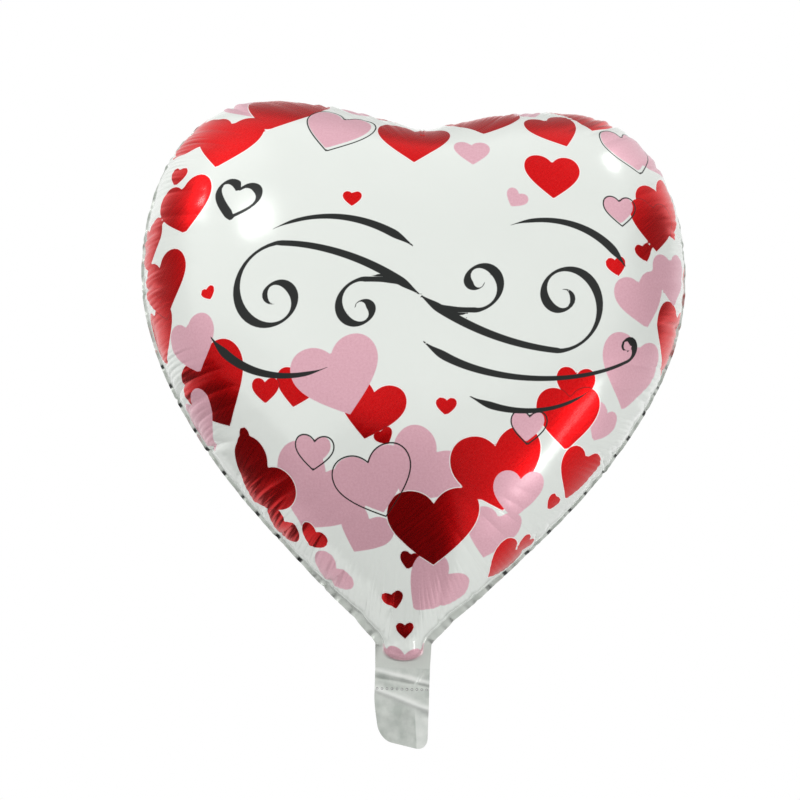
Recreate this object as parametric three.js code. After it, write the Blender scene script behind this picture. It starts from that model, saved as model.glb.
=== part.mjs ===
// Heart-shaped foil balloon, filled, held at its neck.
// Millimetres, +Z up, front towards -Y. The origin is on the neck's fold line, midway between the
// two films, where a ribbon is tied or a stick's cup grips.
//
// The balloon is two printed films welded face to face round a heart. Below the heart a flat tail
// of two films goes on, which folds at the neck and again at a line of perforations. A self-closing
// valve of two thin plies stands inside the chamber, with its foot in the throat.
import * as THREE from "three";

// Film. The real one is about 0.04 mm thick; as a closed solid it is drawn at FILM.
const FILM = 0.25;
const PLY_GAP = 0.3; // between two films that lie face to face
const FOLD_CLEARANCE = 0.08; // what a fold keeps free at a quarter turn

// Chamber: the filled heart inside its weld line
const HEART_WIDTH = 380;
const HEART_HEIGHT = 393; // chamber's foot to the top of its lobes
const WIDEST_HEIGHT = 276; // chamber's foot to its widest place
const CROWN_HEIGHT = 226; // chamber's foot to where it is deepest
const LOBE_OFFSET = 106; // middle to the top of a lobe
const NOTCH_DEPTH = 21;
const CHAMBER_DEPTH = 190; // front to back, outside
const CHAMBER_FOOT = 6; // neck's fold line to the chamber's foot
const THROAT_WIDTH = 27;
const THROAT_HEIGHT = 10;
const THROAT_ROUNDING = 8; // height of the throat's rounded foot
const FLARE_HEIGHT = 22; // over which the sides sweep out above the throat
const FLARE_SPREAD = 17; // how far each side sweeps out there

// Weld margin round the chamber
const SEAM_MARGIN = 6;

// Tail
const TAIL_WIDTH = 38;
const NECK_LENGTH = 14; // fold line to perforations
const TAB_LENGTH = 42; // perforations to the tail's end
const TAB_CORNER = 9;
const PERFORATION_COUNT = 11;
const PERFORATION_WIDTH = 1.4;
const PERFORATION_DEPTH = 0.8; // bitten out of the film on each side of the line

// Valve
const VALVE_SIDE_CLEARANCE = 1.5; // between the valve and each side of the throat
const VALVE_LENGTH = 72;
const VALVE_STEP = 8; // how much longer the back ply is
const VALVE_CORNER = 5;
const VALVE_SEAT = 0.6; // valve's foot to the chamber's foot

// Mesh: its middle ellipse as shares of the heart, the band beside the weld line, and its density
const CORE_WIDTH = 0.16;
const CORE_LENGTH = 0.6;
const RIM_BAND = 2;
const RINGS = 8;
const CURVE_STEPS = { foot: 4, throat: 1, flare: 3, side: 11, lobe: 10, cleft: 7 };
const CORNER_STEPS = 6;

const INNER_FACE = PLY_GAP / 2; // from the middle plane to a film's inner face
const OUTER_FACE = INNER_FACE + FILM;
const FOLD_GAP = 2 * (OUTER_FACE + FOLD_CLEARANCE / 2); // free height of each fold line
const VALVE_WIDTH = THROAT_WIDTH - 2 * VALVE_SIDE_CLEARANCE;

const film = (color, roughness, metalness) =>
  new THREE.MeshStandardMaterial({ color, roughness, metalness });
const printedFilm = film(0xe2e6e1, 0.25, 0.1);
const bareFilm = film(0xb9beb6, 0.35, 0.7);
const valveFilm = film(0xdfe6e8, 0.5, 0);

const point = (x, z) => new THREE.Vector2(x, z);

// ---- outlines, in the XZ plane ----

// Right half of the weld line, from the chamber's foot up round the lobe to the notch.
function halfWeldLine() {
  const half = HEART_WIDTH / 2;
  const throat = THROAT_WIDTH / 2;
  const foot = CHAMBER_FOOT;
  const bend = foot + THROAT_ROUNDING;
  const shoulder = foot + THROAT_HEIGHT;
  const flareTop = point(throat + FLARE_SPREAD, shoulder + FLARE_HEIGHT);
  const widest = foot + WIDEST_HEIGHT;
  const top = foot + HEART_HEIGHT;
  const quarter = 0.55; // handle that makes a quarter ellipse
  const curves = {
    foot: [
      point(0, foot),
      point(throat * quarter, foot),
      point(throat, bend - THROAT_ROUNDING * quarter),
      point(throat, bend),
    ],
    throat: [point(throat, bend), point(throat, bend), point(throat, shoulder), point(throat, shoulder)],
    flare: [
      point(throat, shoulder),
      point(throat, shoulder + FLARE_HEIGHT * 0.35),
      point(flareTop.x - FLARE_SPREAD * 0.45, flareTop.y - FLARE_HEIGHT * 0.45),
      flareTop,
    ],
    side: [
      flareTop,
      point(half * 0.58, foot + WIDEST_HEIGHT * 0.35),
      point(half, foot + WIDEST_HEIGHT * 0.68),
      point(half, widest),
    ],
    lobe: [
      point(half, widest),
      point(half, widest + (top - widest) * 0.6),
      point(LOBE_OFFSET + (half - LOBE_OFFSET) * 0.62, top),
      point(LOBE_OFFSET, top),
    ],
    cleft: [
      point(LOBE_OFFSET, top),
      point(LOBE_OFFSET * 0.6, top),
      point(LOBE_OFFSET * 0.2, top - NOTCH_DEPTH * 0.6),
      point(0, top - NOTCH_DEPTH),
    ],
  };
  const line = [point(0, foot)];
  for (const [name, corners] of Object.entries(curves)) {
    line.push(...new THREE.CubicBezierCurve(...corners).getPoints(CURVE_STEPS[name]).slice(1));
  }
  return line;
}

// Right half of the film's cut edge, point for point beside the weld line. It runs straight down
// at the neck and ends above the fold line; in the cleft it is the weld line moved straight up.
function halfCutEdge(weldLine) {
  const neck = TAIL_WIDTH / 2;
  const last = weldLine.length - 1;
  const cleftStart = last - CURVE_STEPS.cleft;
  return weldLine.map((p, i) => {
    if (i <= CURVE_STEPS.foot) return point((neck * i) / CURVE_STEPS.foot, FOLD_GAP / 2);
    const along = weldLine[Math.min(i + 1, last)].clone().sub(weldLine[i - 1]).normalize();
    if (i >= cleftStart) return point(p.x, p.y + SEAM_MARGIN / Math.abs(along.x));
    return point(Math.max(p.x + along.y * SEAM_MARGIN, neck), p.y - along.x * SEAM_MARGIN);
  });
}

// A closed outline from its right half: anticlockwise as seen from the front, starting at its foot.
function mirrored(half) {
  const left = half.slice(1, -1).reverse();
  return [...half, ...left.map((p) => point(-p.x, p.y))];
}

// ---- the filled film ----

// A disc mesh over the heart: rings of points from a long ellipse up its middle out to the weld
// line, and a strip of triangles across the ellipse.
function heartDisc(weldLine) {
  const count = weldLine.length;
  const inset = weldLine.map((p, i) => {
    const along = weldLine[(i + 1) % count].clone().sub(weldLine[(i + count - 1) % count]).normalize();
    return point(p.x - along.y * RIM_BAND, p.y + along.x * RIM_BAND);
  });
  const core = weldLine.map((p, i) => {
    const turn = (i / count) * 2 * Math.PI;
    return point(
      (CORE_WIDTH * HEART_WIDTH * Math.sin(turn)) / 2,
      CHAMBER_FOOT + CROWN_HEIGHT - (CORE_LENGTH * HEART_HEIGHT * Math.cos(turn)) / 2,
    );
  });
  const points = [...core];
  for (let ring = 1; ring <= RINGS; ring++) {
    const share = Math.sin((ring / RINGS) * (Math.PI / 2)); // closer together towards the weld
    points.push(...core.map((p, i) => p.clone().lerp(inset[i], share)));
  }
  points.push(...weldLine);

  const triangles = [];
  for (let i = 0; i < count / 2; i++) {
    const [right, rightUp] = [i, i + 1];
    const [left, leftUp] = [(count - i) % count, count - i - 1];
    if (left !== right) triangles.push([left, right, rightUp]);
    if (leftUp !== rightUp) triangles.push([left, rightUp, leftUp]);
  }
  for (let ring = 0; ring <= RINGS; ring++) {
    triangles.push(...band(ring * count, (ring + 1) * count, count));
  }
  return { points, triangles, count };
}

// Triangles between two closed rings of points that start at indices a and b.
function band(a, b, count) {
  const triangles = [];
  for (let i = 0; i < count; i++) {
    const next = (i + 1) % count;
    triangles.push([a + i, b + i, b + next], [a + i, b + next, a + next]);
  }
  return triangles;
}

// How far a membrane held at the weld line rises under even pressure: 0 at the line, 1 at its top.
function membraneRise({ points, triangles, count }) {
  const links = points.map(() => new Map());
  const area = points.map(() => 0);
  for (const triangle of triangles) {
    const [a, b, c] = triangle.map((i) => points[i]);
    const doubled = Math.abs(b.clone().sub(a).cross(c.clone().sub(a)));
    for (let k = 0; k < 3; k++) {
      const [i, j, opposite] = [0, 1, 2].map((step) => triangle[(k + step) % 3]);
      const toI = points[i].clone().sub(points[opposite]);
      const toJ = points[j].clone().sub(points[opposite]);
      const weight = toI.dot(toJ) / doubled / 2;
      links[i].set(j, (links[i].get(j) ?? 0) + weight);
      links[j].set(i, (links[j].get(i) ?? 0) + weight);
      area[i] += doubled / 6;
    }
  }
  // Blunt triangles make some weights negative; left out, so that no point can sink.
  for (const link of links) {
    for (const [j, weight] of link) {
      if (weight <= 0) link.delete(j);
    }
  }
  const rise = points.map(() => 0);
  const sweeps = 400;
  const overshoot = 1.85;
  for (let sweep = 0; sweep < sweeps; sweep++) {
    for (let i = 0; i < points.length - count; i++) {
      let pull = area[i];
      let stiffness = 0;
      for (const [j, weight] of links[i]) {
        pull += weight * rise[j];
        stiffness += weight;
      }
      rise[i] += overshoot * (pull / stiffness - rise[i]);
    }
  }
  const highest = Math.max(...rise);
  return rise.map((r) => r / highest);
}

// Half the chamber's width at height z, and half its greatest width above the widest place.
function halfWidthAt(z, half) {
  const above = half.findIndex((p, i) => i > 0 && p.y >= z);
  if (above < 0 || z >= CHAMBER_FOOT + WIDEST_HEIGHT) return HEART_WIDTH / 2;
  const [from, to] = [half[above - 1], half[above]];
  return from.x + ((to.x - from.x) * (z - from.y)) / (to.y - from.y);
}

// How far the film's outer skin stands out from the margin at each point of the disc. Film that
// can't stretch leaves the weld line at a right angle and is flattest in the middle, and no level
// section of the chamber is deeper than it is wide.
function domeHeights(disc, half) {
  const heights = membraneRise(disc).map((rise, i) => {
    const { x, y: z } = disc.points[i];
    const membrane = (CHAMBER_DEPTH / 2) * Math.sqrt(1 - (1 - rise) ** 1.5);
    const round = Math.sqrt(Math.max(halfWidthAt(z, half) ** 2 - x ** 2, 0));
    return rise > 0 ? (membrane * round) / (membrane ** 4 + round ** 4) ** 0.25 : 0;
  });
  const scale = (CHAMBER_DEPTH / 2 - OUTER_FACE) / Math.max(...heights);
  return heights.map((height) => height * scale);
}

// Dome and weld margin as one closed shell: its outer skin from the middle to the weld line, the
// margin's outer face, its cut edge and inner face, and the inner skin back to the middle.
function panel() {
  const half = halfWeldLine();
  const cutEdge = mirrored(halfCutEdge(half));
  const disc = heartDisc(mirrored(half));
  const heights = domeHeights(disc, half);
  const outer = disc.points.map((p, i) => new THREE.Vector3(p.x, -OUTER_FACE - heights[i], p.y));
  const rim = outer.length - disc.count;

  const skin = new THREE.BufferGeometry().setFromPoints(outer);
  skin.setIndex(disc.triangles.flat());
  skin.computeVertexNormals();
  const inner = outer.map((p, i) => {
    const normal = new THREE.Vector3().fromBufferAttribute(skin.attributes.normal, i);
    if (i >= rim) {
      normal.y = 0;
      normal.normalize();
    }
    const moved = p.clone().addScaledVector(normal, -FILM);
    if (i >= rim) moved.y = -INNER_FACE;
    return moved;
  });
  const edge = (y) => cutEdge.map((p) => new THREE.Vector3(p.x, y, p.y));

  const points = [...outer, ...edge(-OUTER_FACE), ...edge(-INNER_FACE), ...inner];
  const outerEdge = outer.length;
  const innerEdge = outerEdge + disc.count;
  const innerSkin = innerEdge + disc.count;
  const triangles = [
    ...disc.triangles,
    ...band(rim, outerEdge, disc.count),
    ...band(outerEdge, innerEdge, disc.count),
    ...band(innerEdge, innerSkin + rim, disc.count),
    ...disc.triangles.map(([a, b, c]) => [innerSkin + a, innerSkin + c, innerSkin + b]),
  ];
  const geometry = new THREE.BufferGeometry().setFromPoints(points);
  geometry.setIndex(triangles.flat());
  geometry.computeVertexNormals();
  return geometry;
}

// ---- tail and valve ----

// A flat front film with this XZ outline.
function ply(outline) {
  const geometry = new THREE.ExtrudeGeometry(new THREE.Shape(outline), { depth: FILM, bevelEnabled: false });
  return geometry.rotateX(Math.PI / 2).translate(0, -INNER_FACE, 0);
}

// A film's edge along the perforations, from left to right at height z. The film lies above it if
// side is 1 and below it if side is -1.
function perforatedEdge(z, side) {
  const pitch = TAIL_WIDTH / PERFORATION_COUNT;
  const bite = z + side * PERFORATION_DEPTH;
  const edge = [point(-TAIL_WIDTH / 2, z)];
  for (let i = 0; i < PERFORATION_COUNT; i++) {
    const middle = (i - (PERFORATION_COUNT - 1) / 2) * pitch;
    const left = middle - PERFORATION_WIDTH / 2;
    const right = middle + PERFORATION_WIDTH / 2;
    edge.push(point(left, z), point(left, bite), point(right, bite), point(right, z));
  }
  edge.push(point(TAIL_WIDTH / 2, z));
  return edge;
}

// A film's end with two round corners, from left to right at height z; side as above.
function roundedEnd(halfWidth, z, radius, side) {
  const corner = [];
  for (let i = 0; i <= CORNER_STEPS; i++) {
    const turn = (i / CORNER_STEPS) * (Math.PI / 2);
    const x = halfWidth - radius + radius * Math.cos(turn);
    corner.push(point(x, z + side * radius * (1 - Math.sin(turn))));
  }
  return [...corner.map((p) => point(-p.x, p.y)), ...corner.reverse()];
}

function neckPly() {
  const top = -FOLD_GAP / 2;
  const foot = FOLD_GAP / 2 - NECK_LENGTH;
  const half = TAIL_WIDTH / 2;
  return ply([...perforatedEdge(foot, 1), point(half, top), point(-half, top)]);
}

function tabPly() {
  const top = -NECK_LENGTH - FOLD_GAP / 2;
  const foot = -NECK_LENGTH - TAB_LENGTH;
  return ply([...roundedEnd(TAIL_WIDTH / 2, foot, TAB_CORNER, 1), ...perforatedEdge(top, -1).reverse()]);
}

// The valve's foot has the shape of the throat's, drawn in to the valve's width.
function valvePly(length) {
  const foot = halfWeldLine().slice(0, CURVE_STEPS.foot + 1);
  const narrowing = VALVE_WIDTH / THROAT_WIDTH;
  const right = foot.map((p) => point(p.x * narrowing, p.y + VALVE_SEAT));
  const left = right.slice(1).reverse();
  const top = roundedEnd(VALVE_WIDTH / 2, CHAMBER_FOOT + VALVE_SEAT + length, VALVE_CORNER, -1);
  return ply([...left.map((p) => point(-p.x, p.y)), ...right, ...top.reverse()]);
}

// ---- the balloon ----

const balloon = new THREE.Group();

// Each film is drawn as the front one; the back one is that turned half round.
function add(name, geometry, material, side) {
  const mesh = new THREE.Mesh(geometry, material);
  mesh.name = name;
  mesh.rotation.z = side === "back" ? Math.PI : 0;
  balloon.add(mesh);
}

const valveLength = { front: VALVE_LENGTH, back: VALVE_LENGTH + VALVE_STEP };
for (const side of ["front", "back"]) {
  add(`${side}_panel`, panel(), printedFilm, side);
  add(`neck_${side}_ply`, neckPly(), bareFilm, side);
  add(`tab_${side}_ply`, tabPly(), bareFilm, side);
  add(`valve_${side}_ply`, valvePly(valveLength[side]), valveFilm, side);
}

export default balloon;
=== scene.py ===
"""The looks of a filled heart-shaped foil balloon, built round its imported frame.

Lengths in this script are in millimetres until a mesh is made; the frame is in metres.
The print is drawn in flat coordinates: where a point of the film lay before it was filled.
"""

import math

import bpy
import numpy as np
from mathutils import Matrix, Vector


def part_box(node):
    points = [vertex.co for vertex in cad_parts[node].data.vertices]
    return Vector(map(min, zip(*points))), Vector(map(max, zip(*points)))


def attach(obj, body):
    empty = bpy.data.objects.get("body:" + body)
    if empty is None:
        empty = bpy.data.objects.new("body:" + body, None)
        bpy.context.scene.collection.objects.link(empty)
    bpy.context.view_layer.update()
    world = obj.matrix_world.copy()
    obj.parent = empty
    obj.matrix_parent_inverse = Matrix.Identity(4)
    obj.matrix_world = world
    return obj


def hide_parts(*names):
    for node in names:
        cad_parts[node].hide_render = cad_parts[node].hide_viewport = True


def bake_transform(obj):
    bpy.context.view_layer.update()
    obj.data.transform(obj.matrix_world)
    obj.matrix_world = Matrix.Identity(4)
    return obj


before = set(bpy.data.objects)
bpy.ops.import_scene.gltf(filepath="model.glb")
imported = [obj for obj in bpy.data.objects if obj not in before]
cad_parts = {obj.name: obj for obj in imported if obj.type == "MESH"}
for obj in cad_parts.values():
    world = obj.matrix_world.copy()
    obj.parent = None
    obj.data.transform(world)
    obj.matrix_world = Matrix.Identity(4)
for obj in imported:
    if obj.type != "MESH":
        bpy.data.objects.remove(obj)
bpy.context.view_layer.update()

MM = 0.001

# ---- sizes, from the frame and the same driving dimensions as the solids ----

panel_low, panel_high = (np.array(corner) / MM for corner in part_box("front_panel"))
neck_high = np.array(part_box("neck_front_ply")[1]) / MM
tab_low = np.array(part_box("tab_front_ply")[0]) / MM

SEAM_MARGIN = 2.4  # the solids' margin is wider; most of it is drawn into the filled side here
NECK_MARGIN = 6.0  # near the neck it lies flat and shows at its full width
HALF_WIDTH = panel_high[0] - SEAM_MARGIN
LOBE_TOP = panel_high[2] - SEAM_MARGIN
HALF_DEPTH = -panel_low[1]
CHAMBER_FOOT = 6.0
CHAMBER_HEIGHT = LOBE_TOP - CHAMBER_FOOT
WIDEST_HEIGHT = 276.0
CROWN_HEIGHT = 226.0
LOBE_OFFSET = 106.0
NOTCH_DEPTH = 21.0
HALF_THROAT = 13.5
THROAT_HEIGHT = 10.0
THROAT_ROUNDING = 8.0
FLARE_HEIGHT = 22.0
FLARE_SPREAD = 17.0
HALF_TAIL = neck_high[0]
FILM_OFFSET = 0.2  # from the middle plane to either film where they lie face to face

# ---- mesh density ----

RAYS = 400  # round the heart, inside the pleated band
RAY_SPLIT = 5  # times as many rays in the band
INNER_RINGS = 80
BAND_RINGS = 22
BAND_WIDTH = 38.0
MARGIN_RINGS = 4
CORE_COLUMNS = 22
CORE_WIDTH = 0.16
CORE_LENGTH = 0.6
RIM_INSET = 2.0


# ---- camera, lights, stage ----

def make_camera():
    """Below and a little to the left of the balloon, tilted as the photograph is."""
    camera = bpy.data.objects.new("camera", bpy.data.cameras.new("camera"))
    bpy.context.scene.collection.objects.link(camera)
    azimuth, elevation, roll = math.radians(-1.9), math.radians(-9.3), math.radians(1.84)
    distance = 1.281
    target = Vector((-0.0078, 0.0, 0.189))
    back = Vector((
        math.sin(azimuth) * math.cos(elevation),
        -math.cos(azimuth) * math.cos(elevation),
        math.sin(elevation),
    ))
    camera.location = target + back * distance
    turn = (-back).to_track_quat("-Z", "Y").to_matrix().to_4x4()
    camera.matrix_world = Matrix.Translation(camera.location) @ turn @ Matrix.Rotation(roll, 4, "Z")
    camera.data.lens = 81.0
    camera.data.sensor_width = 36.0
    bpy.context.scene.camera = camera


def area_light(name, location, size, power, target=(0.0, 0.0, 0.22), height=None):
    """A soft light that faces the target: square, or as tall as height."""
    data = bpy.data.lights.new(name, "AREA")
    data.shape = "RECTANGLE"
    data.size = size
    data.size_y = height or size
    data.energy = power
    light = bpy.data.objects.new(name, data)
    light.location = location
    light.rotation_euler = (Vector(location) - Vector(target)).to_track_quat("Z", "Y").to_euler()
    bpy.context.scene.collection.objects.link(light)
    return light


def make_sky():
    """A white studio all round, with the darker and brighter places that the foil mirrors."""
    world = bpy.data.worlds.new("studio")
    bpy.context.scene.world = world
    world.use_nodes = True
    nodes, links = world.node_tree.nodes, world.node_tree.links
    around = nodes.new("ShaderNodeTexCoord").outputs["Generated"]
    brightness = None
    patches = (
        # right of the front, height, half angle of the even middle and of the outer edge, change
        (180.0, 60.0, 15.0, 30.0, -0.55),
        (-100.0, 10.0, 15.0, 30.0, -0.60),
        (90.0, 10.0, 15.0, 35.0, -0.70),
        (-60.0, 50.0, 5.0, 20.0, 0.40),
        (0.0, 40.0, 20.0, 50.0, -0.12),
    )
    for compass, height, middle, edge, change in patches:
        turn, lift = math.radians(compass), math.radians(height)
        level = math.cos(lift)
        towards = (math.sin(turn) * level, -math.cos(turn) * level, math.sin(lift))
        dot = nodes.new("ShaderNodeVectorMath")
        dot.operation = "DOT_PRODUCT"
        dot.inputs[1].default_value = towards
        links.new(around, dot.inputs[0])
        spread = nodes.new("ShaderNodeMapRange")
        spread.interpolation_type = "SMOOTHSTEP"
        spread.inputs["From Min"].default_value = math.cos(math.radians(edge))
        spread.inputs["From Max"].default_value = math.cos(math.radians(middle))
        spread.inputs["To Max"].default_value = change
        links.new(dot.outputs["Value"], spread.inputs["Value"])
        total = nodes.new("ShaderNodeMath")
        total.operation = "ADD"
        total.inputs[1].default_value = 1.0
        if brightness is not None:
            links.new(brightness, total.inputs[1])
        links.new(spread.outputs["Result"], total.inputs[0])
        brightness = total.outputs[0]
    links.new(brightness, nodes["Background"].inputs["Strength"])
    nodes["Background"].inputs["Color"].default_value = (1.0, 1.0, 1.0, 1.0)


def plain_material(name, grey):
    made = bpy.data.materials.new(name)
    made.use_nodes = True
    shader = made.node_tree.nodes["Principled BSDF"]
    shader.inputs["Base Color"].default_value = (grey, grey, grey, 1.0)
    shader.inputs["Roughness"].default_value = 0.9
    return made


def stage_card(name, size, location, grey):
    """A flat sheet of the studio, which isn't part of the object."""
    bpy.ops.mesh.primitive_plane_add(size=1.0, location=location)
    card = bpy.context.object
    card.name = name
    card.scale = (*size, 1.0)
    card.data.materials.append(plain_material(name, grey))
    return card


def make_stage():
    """White studio, a pale floor, a soft key light, and small bright lights for the film's glints."""
    bpy.context.scene.view_settings.view_transform = "Standard"
    make_sky()
    # The key light only lights the print: mirrored whole, it would be a broad white patch.
    key = area_light("key", (-1.28, -1.55, 1.42), 0.5, 6.5)
    key.visible_glossy = False
    area_light("glint_front_left", (-0.9, -1.2, 1.0), 0.09, 1.4, (-0.10, -0.05, 0.30))
    area_light("glint_left", (-1.3, -0.5, 1.0), 0.09, 1.2, (-0.14, -0.03, 0.32))
    area_light("glint_right", (1.0, -0.2, 1.5), 0.10, 1.2, (0.14, -0.04, 0.34))
    area_light("strip_right", (0.9, -0.4, -0.3), 0.10, 1.3, (0.07, -0.07, 0.14), height=0.5)
    stage_card("floor", (12.0, 12.0), (0.0, 0.0, -0.55), 0.8)
    # Dark sheets just above the floor, which only the foil mirrors.
    for name, size, place in (
        ("dark_sheet_front", (1.15, 3.0), (-0.16, -1.5, -0.54)),
        ("dark_sheet_left", (1.9, 2.2), (-1.75, 0.35, -0.54)),
    ):
        card = stage_card(name, size, place, 0.09)
        card.visible_camera = False
        card.visible_diffuse = False
        card.visible_shadow = False


# ---- small helpers ----

def bezier(corners, count):
    """count points along a cubic curve, without its first."""
    t = np.linspace(0.0, 1.0, count + 1)[1:, None]
    a, b, c, d = (np.array(corner, float) for corner in corners)
    return a * (1 - t) ** 3 + 3 * b * t * (1 - t) ** 2 + 3 * c * t**2 * (1 - t) + d * t**3


def resample(points, count):
    """The same open line as count equal steps."""
    steps = np.linalg.norm(np.diff(points, axis=0), axis=1)
    along = np.concatenate([[0.0], np.cumsum(steps)])
    wanted = np.linspace(0.0, along[-1], count + 1)
    return np.stack([np.interp(wanted, along, points[:, axis]) for axis in (0, 1)], axis=1)


def smooth(value, low, high):
    """0 at low, 1 at high, with no corner at either."""
    t = np.clip((value - low) / (high - low), 0.0, 1.0)
    return t * t * (3 - 2 * t)


def wander(x, scale, seed):
    """A smooth wandering value between about -1 and 1, whose bends are about scale apart."""
    waves = ((1.0, 1.0), (0.618, 0.7), (1.732, 0.8), (0.377, 0.4))
    total = sum(
        strength * np.sin(2 * math.pi * x / (scale * length * 2.0) + seed * (2.1 + 3.7 * i) + i)
        for i, (length, strength) in enumerate(waves)
    )
    return total / 2.2


def band(first, second, count, split=1):
    """Triangles between two closed rings; the second has split times as many points."""
    i = np.arange(count)
    after = (i + 1) % count
    a, a_next = first + i, first + after
    fine = [second + (i * split + k) % (count * split) for k in range(split + 1)]
    turn = (split + 1) // 2
    made = [np.stack([a, fine[k], fine[k + 1]], axis=1) for k in range(turn)]
    made.append(np.stack([a, fine[turn], a_next], axis=1))
    made += [np.stack([a_next, fine[k], fine[k + 1]], axis=1) for k in range(turn, split)]
    return np.concatenate(made)


# ---- the heart's outline ----

def weld_line(count):
    """The weld line as count points, anticlockwise from its foot as seen from the front."""
    bend = CHAMBER_FOOT + THROAT_ROUNDING
    shoulder = CHAMBER_FOOT + THROAT_HEIGHT
    flare_x, flare_z = HALF_THROAT + FLARE_SPREAD, shoulder + FLARE_HEIGHT
    widest = CHAMBER_FOOT + WIDEST_HEIGHT
    lobe_rise = LOBE_TOP - widest
    quarter = 0.55
    # An end, two handles, the next end, and so on.
    path = [
        (0.0, CHAMBER_FOOT),
        (HALF_THROAT * quarter, CHAMBER_FOOT),
        (HALF_THROAT, bend - THROAT_ROUNDING * quarter),
        (HALF_THROAT, bend),
        (HALF_THROAT, bend),
        (HALF_THROAT, shoulder),
        (HALF_THROAT, shoulder),
        (HALF_THROAT, shoulder + FLARE_HEIGHT * 0.35),
        (flare_x - FLARE_SPREAD * 0.45, flare_z - FLARE_HEIGHT * 0.45),
        (flare_x, flare_z),
        (HALF_WIDTH * 0.58, CHAMBER_FOOT + WIDEST_HEIGHT * 0.35),
        (HALF_WIDTH, CHAMBER_FOOT + WIDEST_HEIGHT * 0.68),
        (HALF_WIDTH, widest),
        (HALF_WIDTH, widest + lobe_rise * 0.6),
        (LOBE_OFFSET + (HALF_WIDTH - LOBE_OFFSET) * 0.62, LOBE_TOP),
        (LOBE_OFFSET, LOBE_TOP),
        (LOBE_OFFSET * 0.6, LOBE_TOP),
        (LOBE_OFFSET * 0.2, LOBE_TOP - NOTCH_DEPTH * 0.6),
        (0.0, LOBE_TOP - NOTCH_DEPTH),
    ]
    curves = [path[first:first + 4] for first in range(0, len(path) - 1, 3)]
    fine = 200
    half = np.concatenate([[(0.0, CHAMBER_FOOT)]] + [bezier(corners, fine) for corners in curves])
    half = resample(half, count // 2)
    left = half[1:-1][::-1] * (-1.0, 1.0)
    return np.concatenate([half, left])


def outward(line):
    """Unit normals of a closed anticlockwise line, pointing out of it."""
    along = np.roll(line, -1, axis=0) - np.roll(line, 1, axis=0)
    along /= np.linalg.norm(along, axis=1)[:, None]
    return np.stack([along[:, 1], -along[:, 0]], axis=1)


def cut_edge(line):
    """The film's cut edge, point for point beside the weld line."""
    normal = outward(line)
    width = NECK_MARGIN + (SEAM_MARGIN - NECK_MARGIN) * smooth(line[:, 1], 24.0, 90.0)
    edge = line + normal * width[:, None]
    count = len(line)
    share = np.minimum(np.arange(count), count - np.arange(count)) / count
    side = np.where(np.arange(count) <= count // 2, 1.0, -1.0)
    # In the cleft the margin is measured straight up, so that the two lobes' edges can't cross.
    cleft = (line[:, 1] > LOBE_TOP - NOTCH_DEPTH - 1.0) & (np.abs(line[:, 0]) < LOBE_OFFSET)
    rise = SEAM_MARGIN / np.maximum(np.abs(normal[:, 1]), 0.6)
    rise[count // 2] = rise[count // 2 - 1]
    edge[cleft] = line[cleft] + np.stack([np.zeros(cleft.sum()), rise[cleft]], axis=1)
    # At the neck the edge runs straight down to the fold line and across below the foot.
    low = line[:, 1] < CHAMBER_FOOT + THROAT_HEIGHT + FLARE_HEIGHT
    edge[low, 0] = side[low] * np.maximum(np.abs(edge[low, 0]), HALF_TAIL)
    foot_share = share[line[:, 1] < CHAMBER_FOOT + THROAT_ROUNDING * 0.999].max()
    foot = share <= foot_share
    edge[foot, 0] = side[foot] * HALF_TAIL * share[foot] / foot_share
    edge[foot, 1] = panel_low[2]
    return edge


# ---- the filled film ----

def membrane_rise(points, triangles, held):
    """How far a membrane held at some of its points rises under even pressure, 0 to 1."""
    count = len(points)
    pairs, weights = [], []
    area = np.zeros(count)
    for k in range(3):
        i, j, apex = (triangles[:, (k + step) % 3] for step in range(3))
        to_i, to_j = points[i] - points[apex], points[j] - points[apex]
        doubled = np.abs(to_i[:, 0] * to_j[:, 1] - to_i[:, 1] * to_j[:, 0]) + 1e-9
        pairs.append(np.stack([i, j], axis=1))
        weights.append((to_i * to_j).sum(axis=1) / doubled / 2)
        area += np.bincount(i, doubled / 6, count)
    pairs, weights = np.concatenate(pairs), np.concatenate(weights)
    start, end = np.concatenate([pairs, pairs[:, ::-1]]).T
    weights = np.concatenate([weights, weights])
    stiffness = np.bincount(start, weights, count)
    free = ~held

    def pull(values):
        return np.where(free, stiffness * values - np.bincount(start, weights * values[end], count), 0.0)

    rise = np.zeros(count)
    residual = np.where(free, area, 0.0)
    scaled = residual / stiffness
    direction = scaled.copy()
    energy = residual @ scaled
    most_steps = 4000
    close_enough = 1e-16 * energy
    for _ in range(most_steps):
        pulled = pull(direction)
        length = energy / (direction @ pulled)
        rise += length * direction
        residual -= length * pulled
        scaled = residual / stiffness
        before, energy = energy, residual @ scaled
        if energy < close_enough:
            break
        direction = scaled + energy / before * direction
    return np.clip(rise / rise.max(), 0.0, 1.0)


def in_between(rows, split):
    """Rows of ring values, periodic, with split times as many points, on smooth curves."""
    before, after, beyond = np.roll(rows, 1, axis=1), np.roll(rows, -1, axis=1), np.roll(rows, -2, axis=1)
    made = []
    for k in range(split):
        t = k / split
        made.append(
            rows
            + 0.5 * t * (after - before + t * (2 * before - 5 * rows + 4 * after - beyond
                         + t * (3 * (rows - after) + beyond - before)))
        )
    return np.stack(made, axis=2).reshape(rows.shape[0], -1)


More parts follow.
